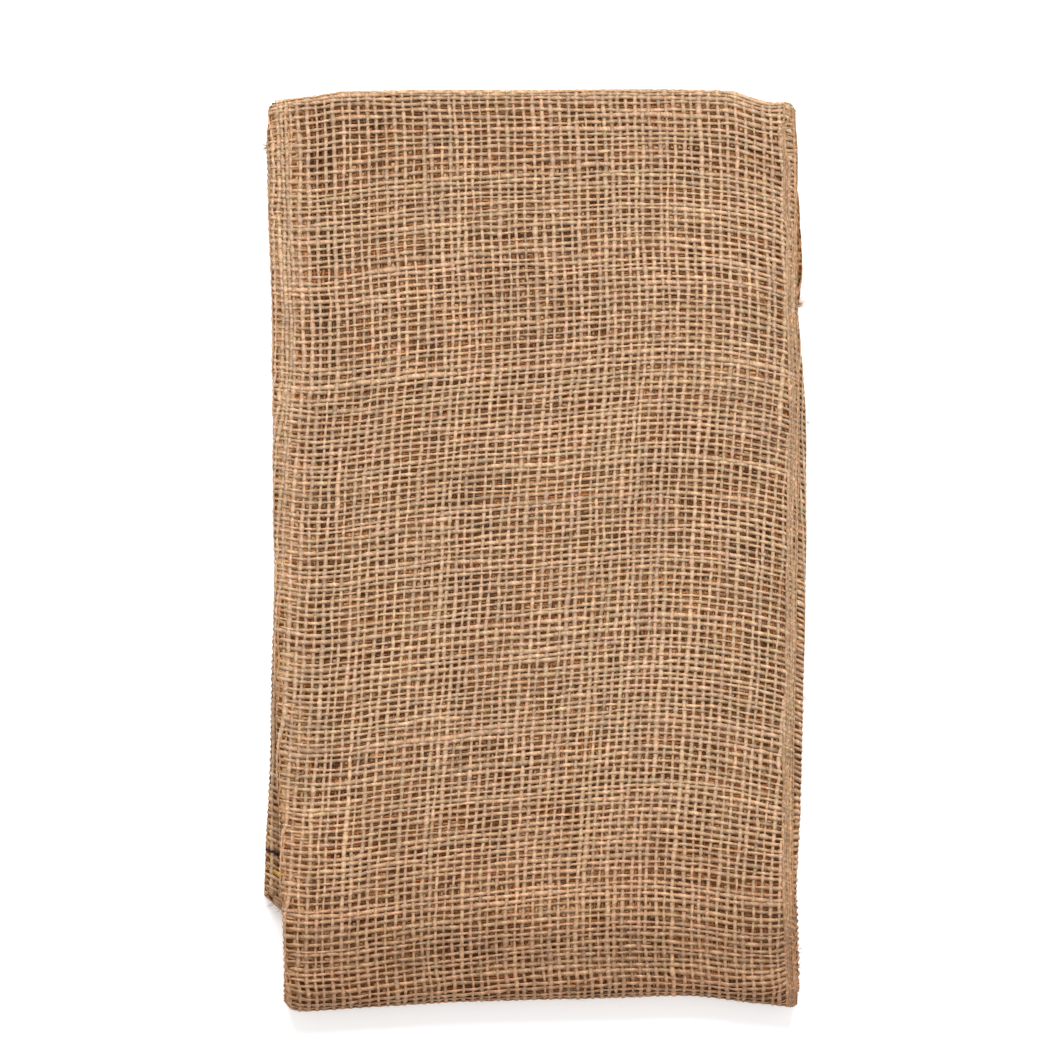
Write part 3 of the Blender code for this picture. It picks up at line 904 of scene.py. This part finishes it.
def seam_band(name, cloth, seed, v_span, steps):
    """The close weave of the selvedge along the seamed edge, with a groove near the closed end."""
    rng = np.random.default_rng(seed)
    us = SELVEDGE_WARPS
    vs = spaced(rng, *v_span, SELVEDGE_PITCH * (3 - steps), SELVEDGE_UNEVENNESS)
    u, v, sign = crossings(rng, us, vs, straight, lambda u, v: SELVEDGE_SLOPE * u, 0.0002)
    u += GROOVE_WIDTH * in_groove(v) * (us[None] > 0)
    threads = Threads(5)
    lay_threads(threads, cloth, u[:, 1:], v[:, 1:], sign[:, 1:], sign[:, 1:] != 0, steps, rng)
    wefts = cloth._replace(lift=cloth.lift - SELVEDGE_DROP, half_width=SELVEDGE_WEFT)
    crossing = (in_groove(v) < NO_GROOVE) | (us[None] < 0.0005)
    lay_threads(threads, wefts, u.T, v.T, -sign.T, crossing.T, steps, rng)
    return [threads.build(name)]


def mouth_at(u, v):
    """Place y of the sack's mouth on the back tier at u and v."""
    return line_at(MOUTH, on_back(u, v, 0)[..., 0] + FOOT_MIDDLE[0])


# How far inside the mouth the back tier's yarns end, and the two yarns of its rim lie.
MOUTH_MARGIN = 0.0004
RIM_YARNS = np.array((0.0002, 0.0014))
RIM_POINTS = 180


def strip(
    name, cloth, seed, u_span, v_span, rise=straight, steps=2, sides=5, markers=(), pitch=WARP_PITCH,
    warps_from=0,
):
    """The yarns of one strip of cloth. The back tier's strips end at the mouth."""
    rng = np.random.default_rng(seed)
    us = spaced(rng, *u_span, pitch)
    vs = spaced(rng, v_span[0] - 0.01, v_span[1] + 0.01, WEFT_PITCH)
    u, v, sign = crossings(rng, us, vs, straight, rise, 0.00014)
    good = inside(u, v, (u_span[0] - 0.001, u_span[1] + 0.001), v_span)
    if cloth.place is on_back:
        good &= v > mouth_at(u, v) + MOUTH_MARGIN
    threads = Threads(sides)
    marked = {int(np.abs(vs - MOUTH_Y - place).argmin()): look for place, *look in markers}
    lay_weave(threads, cloth, u, v, sign, good & (u > warps_from), good, steps, rng, marked)
    return [threads.build(name)]


def mouth_rim():
    """Two yarns along the cut edge of each wall at the sack's mouth."""
    rng = np.random.default_rng(61)
    threads = Threads(5)
    u = np.linspace(0.0, SACK_WIDTH, RIM_POINTS)[:, None] + np.zeros((1, 2))
    v = mouth_at(u, MOUTH_Y + 0 * u) + RIM_YARNS
    for wall in (1, -1):
        rim = Cloth(on_back, wall, 0.00078, 0.0, 0.00074, 0.0004)
        lay_threads(threads, rim, u, v, 0 * u, u > -1, 1, rng)
    return [threads.build("sack_mouth_rim")]


# Tufts of loose fibres: x, y, z, direction and fan in degrees, length and number of hairs.
TUFTS = (
    (0.107, 0.0995, 0.019, 35, 16, 0.0034, 22),
    (0.1105, 0.052, 0.0165, 20, 35, 0.004, 5),
    (0.1085, -0.059, 0.0165, 10, 35, 0.0026, 4),
    (0.1075, -0.162, 0.011, 15, 30, 0.0024, 4),
    (0.1075, -0.17, 0.01, 5, 30, 0.0026, 4),
    (-0.108, 0.1635, 0.02, 190, 30, 0.0022, 26),
    (-0.1085, -0.14, 0.006, 215, 40, 0.002, 5),
    (-0.106, -0.1435, 0.0055, 225, 40, 0.0022, 6),
    (-0.1035, -0.1455, 0.005, 240, 40, 0.0022, 5),
)

# Loose fibres: how many, rings in each, middle, least and greatest length, bend, least and greatest half width,
# and the half width of the hairs in tufts.
FIBRES = 5000
FIBRE_RINGS = 4
FIBRE_LENGTHS = (0.0032, 0.0012, 0.009)
FIBRE_BEND = 1.3
FIBRE_WIDTHS = (0.00003, 0.000055)
HAIR_WIDTH = 0.00009


def fibres():
    """Stray fibres on the front, the folds and the ends."""
    rng = np.random.default_rng(37)
    threads = Threads(3)
    t = np.linspace(0, 1, FIBRE_RINGS)[:, None]
    length = np.clip(FIBRE_LENGTHS[0] * np.exp(0.5 * rng.normal(size=FIBRES)), *FIBRE_LENGTHS[1:])
    heading = rng.uniform(0, 2 * np.pi, FIBRES)
    bend = rng.normal(0, FIBRE_BEND, FIBRES)
    angle = heading + bend * t
    step = length / (FIBRE_RINGS - 1)
    u = rng.uniform(-0.003, FRONT_RUN + FOLD_LENGTH, FIBRES) + np.cumsum(step * np.cos(angle), 0)
    v = rng.uniform(LOWER_START - 0.024, CLOSED_Y - 0.001, FIBRES) + np.cumsum(step * np.sin(angle), 0)
    v = np.minimum(v, CLOSED_Y - 0.0005 + end_offset(u))
    lift = 0.0012 + rng.uniform(0.0001, 0.0012, FIBRES) * t + rng.uniform(0, 0.0006, FIBRES) * np.sin(np.pi * t)
    points = on_front(u, v, lift)
    outward = unit(on_front(u, v, lift + PROBE) - points)
    tangent = unit(np.gradient(points, axis=0))
    sideways = unit(np.cross(tangent, outward))
    width = rng.uniform(*FIBRE_WIDTHS, FIBRES) * (1 - 0.6 * t)
    shade = np.clip(YARN_COLOUR * rng.uniform(0.9, 1.35, (FIBRES, 1)), 0, 0.9)
    for i in range(FIBRES):
        dye = np.repeat(shade[i : i + 1], FIBRE_RINGS, 0)
        thin = width[:, i]
        threads.add(points[:, i], sideways[:, i], outward[:, i], thin, thin, dye, t[:, 0] * length[i], i % 90)
    for *place, middle, fan, size, hairs in TUFTS:
        for near, turn, reach, rise in rng.normal(size=(hairs, 4)):
            heading = math.radians(middle + fan * turn)
            length = size * (1 + 0.3 * reach)
            bow = 0.25 * length * near
            way = np.array((math.cos(heading), math.sin(heading), 0.0))
            aside = np.array((-way[1], way[0], 0.3 * rise))
            start = place + 0.0006 * near * aside
            points = start + length * t * way + bow * t**2 * aside
            tangent = unit(np.gradient(points, axis=0))
            sideways = unit(np.cross(tangent, (0, 0, 1)))
            width = HAIR_WIDTH * (1.2 - 0.7 * t[:, 0])
            dye = np.repeat(YARN_COLOUR[None] * (1.1 + 0.1 * turn), FIBRE_RINGS, 0)
            threads.add(points, sideways, np.cross(sideways, tangent), width, width, dye, t[:, 0] * length, 5.0)
    return [threads.build("sack_fibres")]


# Steps of the sheet along its top run, left fold, middle run, right fold and bottom run, round its two edges and
# round an end bend, and its rows along a tier.
SECTION_STEPS = (17, 7, 17, 7, 14)
EDGE_STEPS = 3
END_BEND_STEPS = 8
ROWS_BELOW_MOUTH = [0, 0.22, 0.44, 0.66, 0.88]
ROWS_ABOVE_MOUTH = list(np.linspace(1, 1.96, 26)) + [2.0]


def section_places(edges):
    """Places u of the points along one wall of the sheet, and which are on a fold."""
    top, middle = (float(length) for length in run_lengths(edges))
    bottom = SACK_WIDTH - top - middle - 2 * FOLD_LENGTH
    ends = np.cumsum((0, top, FOLD_LENGTH, middle, FOLD_LENGTH, bottom))
    parts = [np.linspace(*ends[i : i + 2], steps + 1)[:-1] for i, steps in enumerate(SECTION_STEPS)]
    on_fold = np.repeat((0, 1, 0, 1, 0, 0), (*SECTION_STEPS, 1))
    return np.concatenate([*parts, ends[-1:]]), on_fold


def row_y(x, along):
    """Place y at x of the row `along`: 0 lower bend, 1 mouth, 2 upper bend, 3 closed end."""
    lines = pack_lines(x)
    k = min(int(along), 2)
    return lines[k] + (along - k) * (lines[k + 1] - lines[k])


def sheet_rings(face):
    """Rings of one face of the sheet from the closed end to the mouth, with their places in the cloth."""
    up = ROWS_BELOW_MOUTH + ROWS_ABOVE_MOUTH
    turns = [np.pi * step / END_BEND_STEPS for step in range(1, END_BEND_STEPS)]
    stops = [(FRONT_EDGES, 3.0, LOWER_BEND, -1, 0.0, closing) for closing in (np.pi / 3, np.pi / 6)]
    stops += [(FRONT_EDGES, along, LOWER_BEND, -1, 0.0, 0.0) for along in [3.0] + up[::-1]]
    stops += [(MIDDLE_EDGES, 0.0, LOWER_BEND, -1, turn, 0.0) for turn in turns]
    stops += [(MIDDLE_EDGES, along, LOWER_BEND, -1, np.pi, 0.0) for along in up]
    stops += [(BACK_EDGES, 2.0, UPPER_BEND, 1, turn, 0.0) for turn in turns]
    stops += [(BACK_EDGES, along, UPPER_BEND, 1, np.pi, 0.0) for along in up[::-1] if along >= 1]
    rings, places = [], []
    travelled, last = 0.0, None
    for table, along, height, toward, turn, closing in stops:
        edges = edges_at(table, row_y(np.zeros(1), along))[:, 0]
        u, on_fold = section_places(edges)
        round_edge = np.pi * np.arange(1, EDGE_STEPS) / EDGE_STEPS
        part = face * np.cos(closing)
        swollen = part + FOLD_SWELL * on_fold
        near_x, near_level = across(u, edges, swollen)
        far_x, far_level = across(u, edges, -swollen)
        seam_x = near_x[0] + FOLD_STRETCH * part * np.sin(round_edge[::-1])
        seam_level = RUN_PITCH + part * np.cos(round_edge[::-1])
        edge_x = near_x[-1] - FOLD_STRETCH * part * np.sin(round_edge)
        edge_level = -RUN_PITCH + part * np.cos(round_edge)
        x = np.concatenate([near_x, edge_x, far_x[::-1], seam_x])
        level = np.concatenate([near_level, edge_level, far_level[::-1], seam_level])
        beyond = 0.001 * np.arange(1, EDGE_STEPS)
        around = np.concatenate([u, u[-1] + beyond, u[-1] + 0.003 + u[-1] - u[::-1], -beyond[::-1]])
        radius = BEND_RADIUS - toward * level
        y = row_y(x, along) + toward * BEND_STRETCH * radius * np.sin(turn)
        y = y + FOLD_STRETCH * (face + END_SWELL) * np.sin(closing)
        ring = settle(x, y, height + radius * np.cos(turn))
        if last is not None:
            travelled += float(np.linalg.norm(ring[len(u) // 6] - last[len(u) // 6]))
        last = ring
        rings.append(ring)
        places.append(np.stack([around, np.full(len(around), travelled), 0 * around], axis=-1))
    return np.array(rings), np.array(places), len(u)


def sack_sheet(material):
    """The sack's cloth as one thin sheet: an outer and an inner face, joined round the mouth."""
    outer, places, wall = sheet_rings(SHEET_OUTER)
    inner, _, _ = sheet_rings(SHEET_INNER)
    rows, columns = outer.shape[:2]
    points = np.concatenate([outer.reshape(-1, 3), inner.reshape(-1, 3)])
    ring = np.arange(rows * columns).reshape(rows, columns)
    turned = np.roll(ring, -1, axis=1)
    quads = [np.stack([ring[:-1], ring[1:], turned[1:], turned[:-1]], -1).reshape(-1, 4)]
    quads.append(quads[0][:, ::-1] + rows * columns)
    mouth = np.stack([ring[-1], ring[-1] + rows * columns, turned[-1] + rows * columns, turned[-1]], -1)
    quads.append(mouth)
    near = np.arange(wall)
    steps = (columns - 2 * wall) // 2
    far = 2 * wall + steps - 1 - near
    end = np.stack([near[1:], near[:-1], far[:-1], far[1:]], -1)
    quads += [end, end[:, ::-1] + rows * columns]
    corners = [np.concatenate(quads).reshape(-1)]
    sizes = [np.full(len(corners[0]) // 4, 4)]
    for cap in (np.arange(wall - 1, wall + steps + 1), np.r_[2 * wall + steps - 1 : columns, 0]):
        corners += [cap, cap[::-1] + rows * columns]
        sizes += [np.full(2, len(cap))]
    places = np.concatenate([places.reshape(-1, 3), places.reshape(-1, 3)])
    sizes, corners = np.concatenate(sizes), np.concatenate(corners)
    cloth = make_object("sack_cloth", points, sizes, corners, material, (("weave_place", places),))
    bm = bmesh.new()
    bm.from_mesh(cloth.data)
    bmesh.ops.recalc_face_normals(bm, faces=bm.faces)
    bm.to_mesh(cloth.data)
    bm.free()
    return cloth


FLOOR_LOOKS = {
    "Roughness": 0.9,
    "Specular IOR Level": 0.25,
    "Base Color": (0.92, 0.92, 0.92, 1),
    "Emission Color": (1.0, 1.0, 1.0, 1),
    "Emission Strength": 0.3,
}

pieces = front_panel() + under_panel()
front_span = FRONT_LOWEST, CLOSED_Y - 0.006
back_span = MOUTH_Y, UPPER_START + BEND_LENGTH
middle_span = FRONT_LOWEST - 0.32, FRONT_LOWEST
inner_left = INNER_RUN - 0.003, INNER_RUN + FOLD_LENGTH + 0.002
outer_right = RIGHT_FOLD - 0.01, RIGHT_FOLD + FOLD_LENGTH + 0.002
inner_right = INNER_RIGHT_FOLD - 0.002, INNER_RIGHT_FOLD + FOLD_LENGTH + 0.003
pieces += seam_band("sack_front_selvedge", BAND_CLOTH, 51, (FRONT_LOWEST, CLOSED_Y - 0.008), 2)
pieces += seam_band("sack_middle_selvedge", BAND_CLOTH, 52, middle_span, 1)
pieces += seam_band("sack_back_selvedge", BACK_BAND_CLOTH, 53, (MOUTH_Y + 0.002, back_span[1]), 1)
close = {"pitch": FOLD_PITCH, "warps_from": RIGHT_FOLD + FOLD_PITCH}
pieces += strip("sack_front_right_fold", FOLD_WEFTS, 41, outer_right, front_span, FRONT_RIGHT_RISE, **close)
pieces += mouth_rim()
pieces += strip("sack_middle_left_fold", FRONT_CLOTH, 42, inner_left, middle_span)
pieces += strip("sack_middle_right_fold", FRONT_FAR_CLOTH, 43, inner_right, middle_span)
wide, loose = (inner_left[0] - 0.009, inner_left[1] + 0.033), {"markers": MARKERS, "pitch": 0.0032}
pieces += strip("sack_back_left_fold", BACK_CLOTH, 44, wide, back_span, BACK_LEFT_RISE, **loose)
pieces += strip("sack_back_right_fold", BACK_FAR_CLOTH, 45, inner_right, back_span, markers=MARKERS)
wide, coarse = (inner_right[1], SACK_WIDTH), {"steps": 1, "sides": 3, "markers": MARKERS}
pieces += strip("sack_underside", BACK_FAR_CLOTH, 46, wide, back_span, **coarse)
pieces += fibres()
cloth = sack_sheet(weave_material())
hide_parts("sack")

floor_mesh = bpy.data.meshes.new("floor")
floor_mesh.from_pydata([(-3, -3, 0), (3, -3, 0), (3, 3, 0), (-3, 3, 0)], [], [(0, 1, 2, 3)])
floor_mesh.materials.append(new_material("pale_floor", FLOOR_LOOKS)[0])
floor = bpy.data.objects.new("floor", floor_mesh)
bpy.context.scene.collection.objects.link(floor)

world = bpy.data.worlds.new("studio")
world.use_nodes = True
background = world.node_tree.nodes["Background"].inputs
background["Color"].default_value = (1.0, 1.0, 1.0, 1.0)
background["Strength"].default_value = 0.63
bpy.context.scene.world = world


def softbox(name, place, size, power):
    """A square area light that looks at the middle of the pack."""
    light = bpy.data.lights.new(name, "AREA")
    light.shape = "SQUARE"
    light.size = size
    light.energy = power
    lamp = bpy.data.objects.new(name, light)
    lamp.location = place
    lamp.rotation_euler = Vector(place).to_track_quat("Z", "Y").to_euler()
    bpy.context.scene.collection.objects.link(lamp)


softbox("key", (-0.02, 1.45, 1.28), 1.3, 54.0)
softbox("fill", (0.6, -0.4, 1.7), 1.3, 5.0)

# The camera looks straight down, and sees the photo's width at the height of the pack's top.
CAMERA_PLACE = (-0.0038, 0.01063, 5.0)
TOP_HEIGHT = 0.0243
VIEW_WIDTH = 1050 * 0.000405
camera = bpy.data.cameras.new("camera")
camera.sensor_width = 36.0
camera.lens = camera.sensor_width * (CAMERA_PLACE[2] - TOP_HEIGHT) / VIEW_WIDTH
camera.clip_end = 20.0
eye = bpy.data.objects.new("camera", camera)
eye.location = CAMERA_PLACE
bpy.context.scene.collection.objects.link(eye)
bpy.context.scene.camera = eye
bpy.context.scene.view_settings.view_transform = "Standard"
